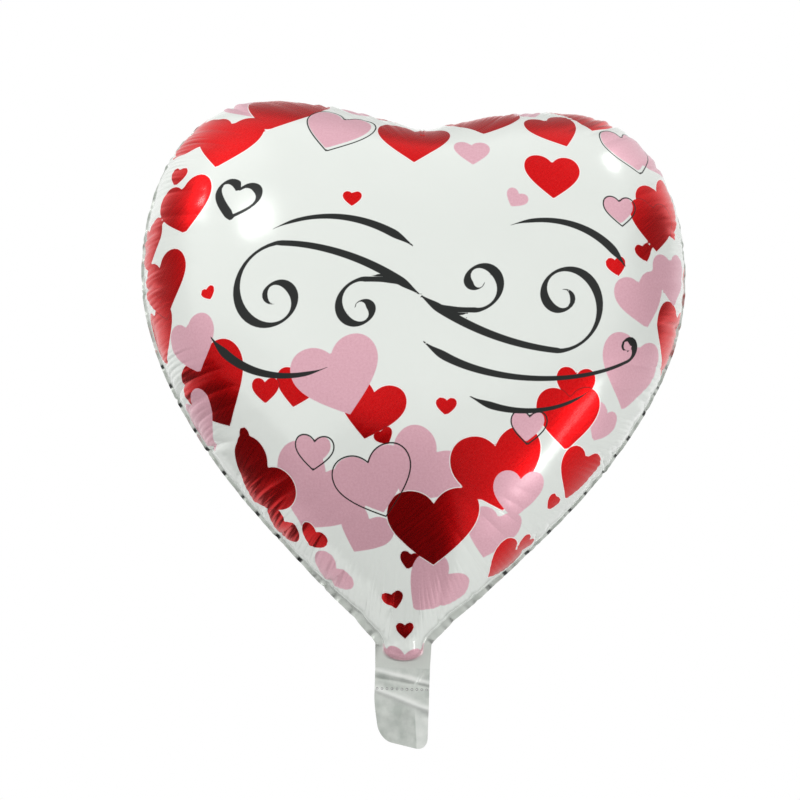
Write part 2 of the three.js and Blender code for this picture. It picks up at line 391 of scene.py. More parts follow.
class HeartGrid:
    """Rings of points between a long ellipse up the heart's middle and its weld line.

    All rings are kept at the fine count; the mesh takes every RAY_SPLIT-th ray inside the band.
    """

    def __init__(self):
        self.fine = RAYS * RAY_SPLIT
        self.line = weld_line(self.fine)
        self.edge = cut_edge(self.line)
        count = np.arange(self.fine)
        turn = count / self.fine * 2 * math.pi
        crown = CHAMBER_FOOT + CROWN_HEIGHT
        self.core = np.stack([
            CORE_WIDTH * HALF_WIDTH * np.sin(turn),
            crown - CORE_LENGTH * CHAMBER_HEIGHT * np.cos(turn) / 2,
        ], axis=1)
        inset = self.line - outward(self.line) * RIM_INSET
        inset[self.fine // 2] = self.line[self.fine // 2] - (0.0, RIM_INSET * 1.3)
        reach = np.linalg.norm(inset - self.core, axis=1)
        band_share = 1.0 - np.minimum(BAND_WIDTH / reach, 0.5)
        rings = []
        for ring in range(INNER_RINGS):
            rings.append(self.core + (inset - self.core) * (band_share * ring / INNER_RINGS)[:, None])
        for ring in range(BAND_RINGS):
            share = band_share + (1.0 - band_share) * math.sin(ring / (BAND_RINGS - 1) * math.pi / 2)
            rings.append(self.core + (inset - self.core) * share[:, None])
        rings.append((inset + self.line) / 2 + (self.line - inset) * 0.15)
        rings.append(self.line)
        self.rings = np.array(rings)
        self.along = count / self.fine * self._perimeter()

    def _perimeter(self):
        return np.linalg.norm(self.line - np.roll(self.line, 1, axis=0), axis=1).sum()

    def core_rows(self, ring):
        """Points across the ellipse, for values given on its coarse ring: rows by columns."""
        half = RAYS // 2
        right = ring[1:half]
        left = ring[::-1][:half - 1]
        share = (np.arange(CORE_COLUMNS) + 1.0) / (CORE_COLUMNS + 1)
        return left[:, None] + (right - left)[:, None] * share[None, :, None]

    def core_triangles(self, first):
        """Triangles of the ellipse; its inner points start at index first, its ring at 0."""
        half = RAYS // 2
        inner = first + np.arange((half - 1) * CORE_COLUMNS).reshape(half - 1, CORE_COLUMNS)
        rows = np.concatenate([
            (RAYS - 1 - np.arange(half - 1))[:, None], inner, (1 + np.arange(half - 1))[:, None],
        ], axis=1)
        a, b, c, d = rows[:-1, :-1], rows[:-1, 1:], rows[1:, 1:], rows[1:, :-1]
        quads = [np.stack([a, b, c], axis=-1), np.stack([a, c, d], axis=-1)]
        made = [quad.reshape(-1, 3) for quad in quads]
        bottom, top = rows[0], rows[-1]
        made.append(np.stack([np.zeros(len(bottom) - 1, int), bottom[1:], bottom[:-1]], axis=1))
        made.append(np.stack([np.full(len(top) - 1, half), top[:-1], top[1:]], axis=1))
        return np.concatenate(made)

    def heights(self):
        """How far the film stands out from the middle plane, on the fine rings and in the core."""
        coarse = self.rings[:, ::RAY_SPLIT]
        ring_count = len(coarse)
        core = self.core_rows(coarse[0])
        points = np.concatenate([coarse.reshape(-1, 2), core.reshape(-1, 2)])
        triangles = [band(r * RAYS, (r + 1) * RAYS, RAYS) for r in range(ring_count - 1)]
        triangles.append(self.core_triangles(ring_count * RAYS))
        held = np.zeros(len(points), bool)
        held[(ring_count - 1) * RAYS:ring_count * RAYS] = True
        rise = membrane_rise(points, np.concatenate(triangles), held)
        coarse_rise = rise[:ring_count * RAYS].reshape(ring_count, RAYS)
        on_rings = np.clip(in_between(coarse_rise, RAY_SPLIT), 0.0, 1.0)
        on_rings[-1] = 0.0
        rings = self._bulge(self.rings, on_rings)
        inside = self._bulge(core, rise[ring_count * RAYS:].reshape(core.shape[:2]))
        scale = (HALF_DEPTH - FILM_OFFSET) / inside.max()
        return rings * scale, inside * scale

    def _bulge(self, places, rise):
        """Film that can't stretch is steepest at the weld line, and no deeper than it is wide."""
        half = self.fine // 2
        below = self.line[:half][self.line[:half, 1] < CHAMBER_FOOT + WIDEST_HEIGHT]
        width = np.interp(places[..., 1], below[:, 1], below[:, 0], right=HALF_WIDTH)
        membrane = HALF_DEPTH * np.sqrt(1 - (1 - rise) ** 1.5)
        round_off = np.sqrt(np.maximum(width**2 - places[..., 0] ** 2, 0.0))
        both = (membrane**4 + round_off**4) ** 0.25
        return np.where(rise > 0, membrane * round_off / np.maximum(both, 1e-6), 0.0)


make_camera()
make_stage()
grid = HeartGrid()
heights = grid.heights()


def pleats(along, inside, slant, seed):
    """How far the film stands out of its smooth shape, in the band beside the weld.

    along is the place on the weld line and inside the distance from it over the film.
    """
    patchy = 0.55 + 0.45 * wander(along, 70.0, seed + 1.0)
    drift = along + slant * inside
    near_weld = 0.25 + 0.75 * smooth(inside, 0.0, 5.0)

    def folds(spacing, wander_scale, wander_size, start):
        phase = drift / spacing + wander_size * wander(drift, wander_scale, start)
        return np.abs(np.sin(math.pi * phase)) ** 0.8 - 0.66

    # The film gathers in patches, with smoother film between them.
    gather = np.clip(0.55 + 0.6 * wander(along, 45.0, seed + 6.0), 0.1, None)
    # A gather's fine folds end raggedly, between 45 and 70 mm from the weld.
    ragged = 58.0 + 12.0 * wander(drift, 6.0, seed + 4.0)
    fine = folds(4.6, 38.0, 0.6, seed) * (1 - smooth(inside, 0.45 * ragged, ragged)) * 0.62 * gather
    middle = folds(11.5, 60.0, 1.0, seed + 2.0) * np.exp(-((inside / 44.0) ** 2)) * 0.7 * patchy
    broad = folds(24.0, 90.0, 0.8, 0.7) * np.exp(-((inside / 52.0) ** 2)) * 1.6
    return (fine + middle * (0.4 + 0.6 * gather) + broad * (0.55 + 0.3 * gather)) * near_weld


CREASE_COUNT = 22
CREASE_SEED = 5
CREASE_DRIFT = 0.3  # of the even spacing, either way
CREASE_LEAN = 0.2
CREASE_LENGTH, LENGTH_CHANGE = 62.0, 10.0
CREASE_DEPTH, DEPTH_CHANGE = 1.6, 0.6


def creases(along, inside):
    """Deeper single folds that run in from the weld, about evenly spaced. The deepest are narrowest."""
    perimeter = grid.along[-1]
    total = np.zeros_like(inside)
    chances = np.random.default_rng(CREASE_SEED).uniform(-1.0, 1.0, (CREASE_COUNT, 4))
    for number, (drift, lean, reach_chance, depth_chance) in enumerate(chances):
        share = (number + 0.5 + CREASE_DRIFT * drift) / CREASE_COUNT
        slant = CREASE_LEAN * lean
        length = CREASE_LENGTH + LENGTH_CHANGE * reach_chance
        depth = CREASE_DEPTH + DEPTH_CHANGE * depth_chance
        half_width = 3.2 - 0.5 * depth
        across = along - share * perimeter - slant * inside
        width = half_width * (0.5 + inside / length)
        reach = smooth(length - inside, 0.0, length * 0.8) * (0.35 + 0.65 * smooth(inside, 0.0, 8.0))
        total -= depth * reach * np.exp(-np.abs(across / width) ** 1.3)
        total += 0.35 * depth * reach * np.exp(-(((np.abs(across) - 2.6 * width) / (1.5 * width)) ** 2))
    return total


def undulation(x, z):
    """Slow waves of film that was never quite smooth."""
    return (
        0.30 * np.sin(x / 17.0 + 1.3 * np.sin(z / 31.0)) * np.sin(z / 23.0 + 0.8)
        + 0.22 * np.sin((x + z) / 12.5 + 2.0) * np.sin((x - 0.7 * z) / 19.0)
    )


class Film:
    """The front film in its filled shape, as plain arrays: places, flat coordinates, margin."""

    def __init__(self):
        rings, core_heights = heights
        places = np.stack([grid.rings[..., 0], FILM_OFFSET + rings, grid.rings[..., 1]], axis=-1)
        steps = np.linalg.norm(np.diff(places, axis=0), axis=-1)
        length = np.concatenate([np.zeros((1, grid.fine)), np.cumsum(steps, axis=0)])
        inside = length[-1] - length
        away = grid.line - grid.core
        away /= np.linalg.norm(away, axis=1)[:, None]
        flat = grid.core + away * length[..., None]

        normals = self._normals(places)
        # Next to the middle ellipse the film is moved straight out, as the ellipse itself is.
        straight = 1.0 - smooth(np.arange(len(places)), 0.0, 12.0)[:, None, None]
        normals = normals * (1 - straight) + straight * (0.0, 1.0, 0.0)
        along = np.broadcast_to(grid.along, inside.shape)
        lift = pleats(along, inside, 0.12, 3.0) + creases(along, inside)
        # The throat and the notch are drawn tight, without pleats.
        throat = smooth(grid.rings[..., 1], CHAMBER_FOOT + 6.0, CHAMBER_FOOT + 50.0)
        lift = lift * (0.15 + 0.85 * throat)
        lift += undulation(flat[..., 0], flat[..., 1]) * smooth(inside, 0.0, 20.0)
        places = places + normals * lift[..., None]

        margin_flat, margin, wave, painted_reflections = [], [], [], []
        out = outward(grid.line)
        shift = np.stack([out[:, 0] * lift[-1], np.zeros(grid.fine), out[:, 1] * lift[-1]], axis=1)
        ripple = 0.9 * np.sin(2 * math.pi * grid.along / 19.0 + 1.5 * wander(grid.along, 80.0, 2.0))
        ripple = ripple + 0.35 * np.sin(2 * math.pi * grid.along / 7.3)
        calm = smooth(grid.edge[:, 1], 3.0, 20.0)
        for ring in range(1, MARGIN_RINGS + 1):
            share = ring / MARGIN_RINGS
            spot = grid.line + (grid.edge - grid.line) * share
            margin.append(np.stack([spot[:, 0], np.full(grid.fine, FILM_OFFSET), spot[:, 1]], axis=1)
                          + shift * calm[:, None])
            margin_flat.append(flat[-1] + away * SEAM_MARGIN * share)
            wave.append(ripple * calm * share**1.5)
            # Dark dashes of painted reflection on the margin's ripples, along its sides.
            low_sides = smooth(grid.edge[:, 1], 40.0, 70.0) * smooth(-grid.edge[:, 1], -235.0, -205.0)
            painted_reflections.append(smooth(ripple, 0.55, 0.95) * low_sides)

        core = grid.core_rows(grid.rings[0, ::RAY_SPLIT])
        core_y = FILM_OFFSET + core_heights + undulation(core[..., 0], core[..., 1])
        core_places = np.stack([core[..., 0], core_y, core[..., 1]], axis=-1).reshape(-1, 3)

        inner, outer = slice(0, INNER_RINGS), slice(INNER_RINGS, None)
        pick = slice(None, None, RAY_SPLIT)
        self.places = np.concatenate([
            places[inner, pick].reshape(-1, 3), places[outer].reshape(-1, 3),
            np.concatenate(margin), core_places,
        ])
        self.flat = np.concatenate([
            flat[inner, pick].reshape(-1, 2), flat[outer].reshape(-1, 2),
            np.concatenate(margin_flat), core.reshape(-1, 2),
        ])
        before_margin = INNER_RINGS * RAYS + (len(grid.rings) - INNER_RINGS) * grid.fine
        self.wave = np.zeros(len(self.places))
        self.wave[before_margin:before_margin + MARGIN_RINGS * grid.fine] = np.concatenate(wave)
        # The painted reflection lies on the margin only, and is nothing inside it.
        self.dash = np.zeros(len(self.places))
        self.dash[before_margin:before_margin + MARGIN_RINGS * grid.fine] = np.concatenate(painted_reflections)
        # From the weld line outwards, and less than nothing inside it.
        self.margin = np.concatenate([
            -inside[inner, pick].reshape(-1), -inside[outer].reshape(-1),
            np.repeat(np.arange(1, MARGIN_RINGS + 1) * SEAM_MARGIN / MARGIN_RINGS, grid.fine),
            np.full(len(core_places), -HALF_WIDTH),
        ])
        self.weld_flat = flat[-1]
        self.triangles = self._triangles(before_margin)

    @staticmethod
    def _normals(places):
        across = np.gradient(places, axis=0)
        round_ = (np.roll(places, -1, axis=1) - np.roll(places, 1, axis=1)) / 2
        normal = np.cross(round_, across)
        normal /= np.linalg.norm(normal, axis=-1)[..., None] + 1e-9
        out = outward(grid.line)
        normal[-1] = np.stack([out[:, 0], np.zeros(len(out)), out[:, 1]], axis=1)
        facing = np.sign(normal[..., 1:2])
        facing[facing == 0] = 1.0
        return normal * facing

    @staticmethod
    def _triangles(before_margin):
        made = [band(r * RAYS, (r + 1) * RAYS, RAYS) for r in range(INNER_RINGS - 1)]
        first = INNER_RINGS * RAYS
        made.append(band(first - RAYS, first, RAYS, RAY_SPLIT))
        fine_rings = len(grid.rings) - INNER_RINGS + MARGIN_RINGS
        for ring in range(fine_rings - 1):
            start = first + ring * grid.fine
            made.append(band(start, start + grid.fine, grid.fine))
        made.append(grid.core_triangles(before_margin + MARGIN_RINGS * grid.fine))
        return np.concatenate(made)


film = Film()


# ---- the print, in flat coordinates, as seen from the printed side ----

# The hearts make a wreath. Each is placed as on a clock face round the middle: the hour,
# the share of the way to the rim as seen from the front, the width, and the tilt to the left.

PRINT_MIDDLE = np.array([0.0, 245.0])
RIM_TURN = 0.2
RIM_TURN_POWER = 8


def on_film(hour, out, width, tilt):
    """A heart's place on the flat film, from its place on the clock face."""
    turn = math.radians(30.0 * hour)
    direction = np.array([math.sin(turn), math.cos(turn)])
    to_rim = film.weld_flat - PRINT_MIDDLE
    reach = np.linalg.norm(to_rim, axis=1)
    rim = reach[(to_rim @ direction / reach).argmax()]
    # The filled film turns away near its rim, so the last steps there take more of it.
    share = (1.0 - RIM_TURN) * out + RIM_TURN * out**RIM_TURN_POWER
    x, z = PRINT_MIDDLE + direction * rim * share
    return x, z, width, tilt


def wreath(*rows):
    return tuple(on_film(*row) for row in rows)


RED_UNDER = wreath(
    (11.9, 0.75, 55, 0), (11.6, 0.95, 40, -10), (8.8, 0.95, 50, 10), (8.2, 0.85, 65, 25),
    (7.7, 0.60, 30, -10), (6.7, 0.45, 45, -10), (3.1, 0.95, 60, 0), (2.2, 0.90, 55, 30),
    (3.9, 0.70, 30, 0), (4.4, 0.90, 45, -10), (6.0, 0.80, 16, -10), (2.7, 1.00, 40, 10),
    (7.1, 0.95, 35, -45),
)
PINK_UNDER = wreath(
    (10.7, 0.95, 60, 15), (11.4, 0.95, 40, 10), (8.6, 0.85, 45, 15), (7.4, 0.45, 60, 20),
    (8.1, 0.95, 50, 20), (6.9, 0.80, 70, -30), (5.9, 0.55, 55, -35), (6.4, 0.80, 40, -25),
    (6.6, 0.95, 40, -45), (5.8, 0.90, 55, -40), (6.0, 1.00, 35, -5), (5.3, 0.85, 45, -10),
    (4.0, 0.85, 30, -20), (3.5, 0.85, 60, -5), (2.9, 0.80, 45, 20), (2.7, 0.90, 45, 15),
    (1.8, 0.95, 50, 45), (12.9, 0.95, 35, 10), (1.4, 0.50, 16, -30),
)
RED_OVER = wreath(
    (10.8, 0.90, 60, -10), (10.3, 0.85, 55, -10), (10.2, 0.95, 55, -40), (9.9, 0.90, 18, -15),
    (9.7, 0.85, 50, 10), (10.8, 0.45, 13, 0), (9.4, 0.95, 45, 5), (9.1, 0.90, 55, 10),
    (9.0, 0.75, 11, 25), (7.7, 0.85, 15, 60), (7.9, 0.70, 20, 0), (5.5, 0.40, 14, 0),
    (6.4, 0.50, 13, 30), (7.4, 0.90, 60, -45), (6.8, 0.90, 24, -35), (5.8, 0.75, 65, 5),
    (6.1, 0.90, 18, 20), (6.0, 0.95, 16, 5), (5.1, 0.70, 65, 15), (4.2, 0.75, 50, 5),
    (4.7, 0.90, 15, -25), (5.2, 0.95, 45, -35), (5.0, 0.95, 22, -30), (12.6, 0.90, 55, -10),
    (1.2, 0.85, 40, 20), (1.3, 0.95, 55, -10), (1.5, 0.65, 40, 0), (2.3, 0.85, 45, 5),
    (2.5, 0.80, 16, 20), (2.6, 0.70, 16, 15),
)
PINK_OVER = wreath((12.6, 0.70, 25, 0), (5.0, 0.80, 40, 0))
OUTLINED = wreath(
    (11.1, 0.80, 45, -15), (7.1, 0.70, 25, -5), (6.4, 0.65, 50, 20), (4.6, 0.65, 24, 0),
    (2.1, 0.75, 24, 5), (1.7, 0.90, 45, 15),
)
OUTLINE_GROWTH = 1.09
OUTLINE_SHIFT = (1.1, -0.9)
FAR_FROM_PRINT = 20.0

INK_MIDDLE = PRINT_MIDDLE
INK_HEART = on_film(9.9, 0.70, 30, -15)
INK_THIN = 1.0
INK_THICK = 3.3
PEN_ANGLE = 38.0


def heart_outline(across, up, width, tilt):
    """A heart as a closed line of points: round lobes, a short notch, a point that leans with the tilt."""
    notch, top, side, tip = (0.0, 0.27), (0.26, 0.42), (0.50, 0.17), (0.0, -0.42)
    half = np.concatenate([
        [notch],
        bezier([notch, (0.07, 0.38), (0.16, 0.42), top], 8),
        bezier([top, (0.40, 0.42), (0.50, 0.32), side], 8),
        bezier([side, (0.50, -0.05), (0.22, -0.25), tip], 12),
    ])
    whole = np.concatenate([half, half[-2:0:-1] * (-1.0, 1.0)])
    turn = math.radians(tilt)
    spin = np.array([[math.cos(turn), math.sin(turn)], [-math.sin(turn), math.cos(turn)]])
    return whole @ spin * width + (across, up)


def nearest_on(points, line):
    """For each point: the distance to an open line, the side it lies on, and the place along the line."""
    start, span = line[:-1], np.diff(line, axis=0)
    to_point = points[:, None] - start
    share = np.clip((to_point * span).sum(axis=-1) / (span**2).sum(axis=-1), 0.0, 1.0)
    gap = to_point - share[..., None] * span
    distance = np.linalg.norm(gap, axis=-1)
    best = distance.argmin(axis=1)
    row = np.arange(len(points))
    across = span[best, 0] * gap[row, best, 1] - span[best, 1] * gap[row, best, 0]
    return distance[row, best], np.where(across < 0, -1.0, 1.0), best + share[row, best]


def encloses(line, points):
    """Which points lie inside a closed line."""
    x, z = points[:, :1], points[:, 1:]
    (x0, z0), (x1, z1) = line.T, np.roll(line, -1, axis=0).T
    crosses = (z0 > z) != (z1 > z)
    safe = np.where(np.abs(z1 - z0) < 1e-9, 1e-9, z1 - z0)
    return (crosses & (x < x0 + (z - z0) * (x1 - x0) / safe)).sum(axis=1) % 2 == 1


def close_to(points, line, reach):
    """The indices of the points in the line's box, grown by reach."""
    low, high = line.min(axis=0) - reach, line.max(axis=0) + reach
    return np.nonzero(((points > low) & (points < high)).all(axis=1))[0]


def hearts_distance(points, hearts):
    """Distance outside the nearest heart, less than nothing inside one."""
    total = np.full(len(points), FAR_FROM_PRINT)
    for heart in hearts:
        line = heart_outline(*heart)
        near = close_to(points, line, 6.0)
        if len(near) == 0:
            continue
        distance, _, _ = nearest_on(points[near], np.concatenate([line, line[:1]]))
        distance[encloses(line, points[near])] *= -1.0
        total[near] = np.minimum(total[near], distance)
    return total


def spiral(middle, radius, start, turns, shrink):
    """A scroll that winds inwards, as points; start is in degrees, turns may be less than nothing."""
    share = np.linspace(0.0, 1.0, 64)
    angle = math.radians(start) + share * turns * 2 * math.pi
    reach = radius * shrink ** share
    return np.stack([middle[0] + reach * np.cos(angle), middle[1] + reach * np.sin(angle)], axis=1)


def pen_strokes():
    """The black ornament: scrolls that look the same upside down, and three single strokes."""
    fine = 40
    outer = spiral((97.0, 4.0), 37.0, -90.0, 1.5, 0.13)
    sweep = bezier([(0.0, 0.0), (22.0, -16.0), (56.0, -33.0), outer[0]], fine)
    curl = spiral((39.0, 11.0), 20.0, -90.0, 1.2, 0.2)
    stem = bezier([(7.0, -4.5), (18.0, -11.0), (28.0, -9.0), curl[0]], 16)
    tail = spiral((148.0, -25.0), 10.0, -80.0, 1.0, 0.25)
    below = bezier([(4.0, -32.0), (36.0, -58.0), (100.0, -60.0), tail[0]], fine)
    above = bezier([(58.0, 50.0), (84.0, 63.0), (122.0, 58.0), (143.0, 30.0)], fine)
    lower = bezier([(34.0, -66.0), (60.0, -80.0), (96.0, -76.0), (120.0, -58.0)], fine)
    upper = bezier([(-4.0, 32.0), (-30.0, 52.0), (-66.0, 60.0), (-100.0, 43.0)], fine)
    balanced = [
        np.concatenate([[(0.0, 0.0)], sweep, outer[1:]]),
        np.concatenate([[(7.0, -4.5)], stem, curl[1:]]),
        above,
    ]
    alone = [np.concatenate([[(4.0, -32.0)], below, tail[1:]]), lower, upper]
    strokes = [stroke * side for stroke in balanced for side in (1.0, -1.0)] + alone
    return [stroke + INK_MIDDLE for stroke in strokes]


def pen_width(line, closed=False):
    """Half the stroke's width at each point: broad across the pen's angle, and fine at both ends."""
    ahead = np.gradient(line, axis=0)
    direction = np.arctan2(ahead[:, 1], ahead[:, 0])
    width = INK_THIN + (INK_THICK - INK_THIN) * np.sin(direction - math.radians(PEN_ANGLE)) ** 2
    if closed:
        return width
    steps = np.concatenate([[0.0], np.cumsum(np.linalg.norm(np.diff(line, axis=0), axis=1))])
    from_end = np.minimum(steps, steps[-1] - steps)
    return width * (0.15 + 0.85 * smooth(from_end, 0.0, 16.0))


def ink_field(points):
    """For each point: how far to the side of a stroke, how far away, and half the stroke's width."""
    field = np.tile((FAR_FROM_PRINT, FAR_FROM_PRINT, 0.0), (len(points), 1))
    heart = heart_outline(*INK_HEART)
    loop = np.concatenate([heart, heart[:1]])
    for line, closed in [(stroke, False) for stroke in pen_strokes()] + [(loop, True)]:
        near = close_to(points, line, 8.0)
        distance, side, place = nearest_on(points[near], line)
        if closed:
            side = np.where(encloses(heart, points[near]), -1.0, 1.0)
        width = np.interp(place, np.arange(len(line)), pen_width(line, closed))
        better = distance - width < field[near, 1] - field[near, 2]
        chosen = near[better]
        field[chosen] = np.stack([distance * side, distance, width], axis=1)[better]
    return field


def print_fields(points):
    """Every layer of the print as a value at each point."""
    outlines = [
        (x + OUTLINE_SHIFT[0], z + OUTLINE_SHIFT[1], width * OUTLINE_GROWTH, tilt)
        for x, z, width, tilt in OUTLINED
    ]
    return {
        "red_under": hearts_distance(points, RED_UNDER),
        "pink_under": hearts_distance(points, PINK_UNDER),
        "red_over": hearts_distance(points, RED_OVER),
        "pink_over": hearts_distance(points, PINK_OVER + OUTLINED),
        "outline": hearts_distance(points, outlines),
        "ink": ink_field(points),
    }


# ---- materials ----

class Shade:
    """A material under construction: short names for the nodes that the films need."""

    def __init__(self, name):
        self.material = bpy.data.materials.new(name)
        self.material.use_nodes = True
        self.nodes = self.material.node_tree.nodes
        self.links = self.material.node_tree.links
        self.shader = self.nodes["Principled BSDF"]

    def feed(self, socket, value):
        if isinstance(value, bpy.types.NodeSocket):
            self.links.new(value, socket)
        elif isinstance(value, tuple) and len(value) == 3 and socket.type == "RGBA":
            socket.default_value = (*value, 1.0)
        else:
            socket.default_value = value

    def math(self, operation, *values, clamp=False):
        node = self.nodes.new("ShaderNodeMath")
        node.operation = operation
        node.use_clamp = clamp
        for socket, value in zip(node.inputs, values):
            self.feed(socket, value)
        return node.outputs[0]

    def ramp(self, value, low, high, start=0.0, end=1.0):
        node = self.nodes.new("ShaderNodeMapRange")
        for key, given in (("Value", value), ("From Min", low), ("From Max", high), ("To Min", start),
                           ("To Max", end)):
            self.feed(node.inputs[key], given)
        return node.outputs["Result"]

    def mix(self, share, first, second):
        """A mix of two colours, or of two numbers."""
        colours = any(
            isinstance(value, tuple) or getattr(value, "type", "") == "RGBA" for value in (first, second)
        )
        node = self.nodes.new("ShaderNodeMix")
        node.data_type = "RGBA" if colours else "FLOAT"
        kind = "RGBA" if colours else "VALUE"
        ends = [socket for socket in node.inputs if socket.type == kind and socket.name in ("A", "B")]
        self.feed(node.inputs["Factor"], share)
        self.feed(ends[0], first)
        self.feed(ends[1], second)
        return next(socket for socket in node.outputs if socket.type == kind)

    def value(self, name):
        node = self.nodes.new("ShaderNodeAttribute")
        node.attribute_name = name
        return node.outputs["Fac"]

    def parts(self, name):
        node = self.nodes.new("ShaderNodeAttribute")
        node.attribute_name = name
        split = self.nodes.new("ShaderNodeSeparateXYZ")
        self.links.new(node.outputs["Vector"], split.inputs[0])
        return split.outputs

    def flat(self, turn=0.0, stretch=(1.0, 1.0)):
        """The film's flat coordinates in millimetres, turned, and squeezed along each axis."""
        place = self.nodes.new("ShaderNodeUVMap")
        place.uv_map = "OFBake"
        spread = self.nodes.new("ShaderNodeMapping")
        spread.inputs["Scale"].default_value = (FLAT_SPAN, FLAT_SPAN, 1.0)
        self.links.new(place.outputs["UV"], spread.inputs["Vector"])
        turned = self.nodes.new("ShaderNodeMapping")
        turned.inputs["Rotation"].default_value = (0.0, 0.0, math.radians(turn))
        self.links.new(spread.outputs[0], turned.inputs["Vector"])
        squeezed = self.nodes.new("ShaderNodeMapping")
        squeezed.inputs["Scale"].default_value = (*stretch, 1.0)
        self.links.new(turned.outputs[0], squeezed.inputs["Vector"])
        return squeezed.outputs[0]

    def noise(self, where, size, detail=2.0, roughness=0.5):
        """Soft noise whose blotches are about size millimetres across."""
        node = self.nodes.new("ShaderNodeTexNoise")
        node.inputs["Scale"].default_value = 1.0 / size
        node.inputs["Detail"].default_value = detail
        node.inputs["Roughness"].default_value = roughness
        self.links.new(where, node.inputs["Vector"])
        return node.outputs["Fac"]

    def bump(self, height, depth, under=None):
        """A raised surface, depth millimetres high where height is 1."""
        node = self.nodes.new("ShaderNodeBump")
        node.inputs["Distance"].default_value = depth * MM
        self.links.new(height, node.inputs["Height"])
        if under is not None:
            self.links.new(under, node.inputs["Normal"])
        return node.outputs["Normal"]


FILM_WHITE = (0.78, 0.815, 0.775)
HALO_WHITE = (0.93, 0.90, 0.88)
FOIL_RED = (0.66, 0.0, 0.002)
FOIL_RED_LIGHT = (0.80, 0.008, 0.010)
FOIL_RED_DARK = (0.30, 0.0, 0.002)
PRINT_PINK = (0.71, 0.38, 0.45)
PRINT_PINK_LIGHT = (0.79, 0.47, 0.54)
INK_BLACK = (0.006, 0.008, 0.007)
BARE_SILVER = (0.60, 0.63, 0.59)
# A painted dark grey: the painted reflection on the margin's ripples, and the painted shade round the tear
# line's holes.
PAINTED_DARK_GREY = (0.035, 0.038, 0.036)
EDGE_BLUR = 0.22  # half the width over which one printed colour turns into the next


def printed_material():
    """Pearl white film with see-through red over its foil, satin pink and black ink."""
    shade = Shade("printed_film")
    flat = shade.flat()
    cloudy = shade.noise(flat, 60.0)
    grain = shade.noise(flat, 0.55, 3.0, 0.7)
    speck = shade.noise(flat, 1.6, 2.0, 0.6)
    streaks = shade.noise(shade.flat(48.0, (1.0, 0.05)), 2.2, 3.0, 0.6)

    grained = shade.ramp(shade.math("ADD", grain, speck), 0.75, 1.25)
    red = shade.mix(grained, FOIL_RED, FOIL_RED_LIGHT)
    pink = shade.mix(grained, PRINT_PINK, PRINT_PINK_LIGHT)
    white = shade.mix(shade.ramp(cloudy, 0.3, 0.7, 0.0, 0.06), FILM_WHITE, BARE_SILVER)

    def inside(distance, grow=0.0):
        return shade.ramp(distance, grow - EDGE_BLUR, grow + EDGE_BLUR, 1.0, 0.0)

    colour, metal, rough, foil = white, 0.12, 0.20, 0.0

    def lay(share, new_colour, new_metal, new_rough, new_foil):
        nonlocal colour, metal, rough, foil
        colour = shade.mix(share, colour, new_colour)
        metal = shade.mix(share, metal, new_metal)
        rough = shade.mix(share, rough, new_rough)
        foil = shade.mix(share, foil, new_foil)

    red_rough = shade.ramp(shade.math("ADD", grain, streaks), 0.7, 1.3, 0.20, 0.36)
    edge_colour = HALO_WHITE
    for red_layer, pink_layer in (("red_under", "pink_under"), ("red_over", "pink_over")):
        distance = shade.value(red_layer)
        lay(inside(distance, 0.6), edge_colour, 0.4, 0.35, 0.2)
        edge_colour = shade.mix(inside(distance), HALO_WHITE, FOIL_RED_DARK)
        lay(inside(distance), red, 1.0, red_rough, 1.0)
        lay(inside(shade.value(pink_layer)), pink, 0.35, 0.36, 0.5)
    line = shade.math("SUBTRACT", shade.math("ABSOLUTE", shade.value("outline")), 0.5)
    lay(inside(line), INK_BLACK, 0.0, 0.25, 0.0)
    aside, away, half_width = shade.parts("ink")[:3]
    across = shade.math("SUBTRACT", shade.math("ABSOLUTE", aside), half_width)
    beyond = shade.math("SUBTRACT", shade.math("SUBTRACT", away, half_width), 0.7)
    lay(inside(shade.math("MAXIMUM", across, beyond)), INK_BLACK, 0.0, 0.22, 0.0)

    # Past the weld the film is bare; along its ripples a dark grey is painted into its colour, a painted
    # reflection of the dark side of the room.
    margin = shade.ramp(shade.value("margin"), -0.3, 0.5)
    lay(margin, shade.mix(shade.value("dash"), BARE_SILVER, PAINTED_DARK_GREY), 0.6, 0.34, 0.6)

    crinkle = shade.bump(shade.noise(flat, 7.0, 2.0), 0.045)
    streaked = shade.bump(shade.math("MULTIPLY", streaks, foil), 0.012, crinkle)
    grain_share = shade.ramp(foil, 0.0, 1.0, 0.2, 1.0)
    grainy = shade.bump(shade.math("MULTIPLY", grain, grain_share), 0.014, streaked)
    shade.feed(shade.shader.inputs["Base Color"], colour)
    shade.feed(shade.shader.inputs["Metallic"], metal)
    shade.feed(shade.shader.inputs["Roughness"], rough)
    shade.feed(shade.shader.inputs["Normal"], grainy)
    shade.shader.inputs["Specular IOR Level"].default_value = 0.25
    shade.shader.inputs["Coat Weight"].default_value = 0.2
    shade.shader.inputs["Coat Roughness"].default_value = 0.12
    return shade.material


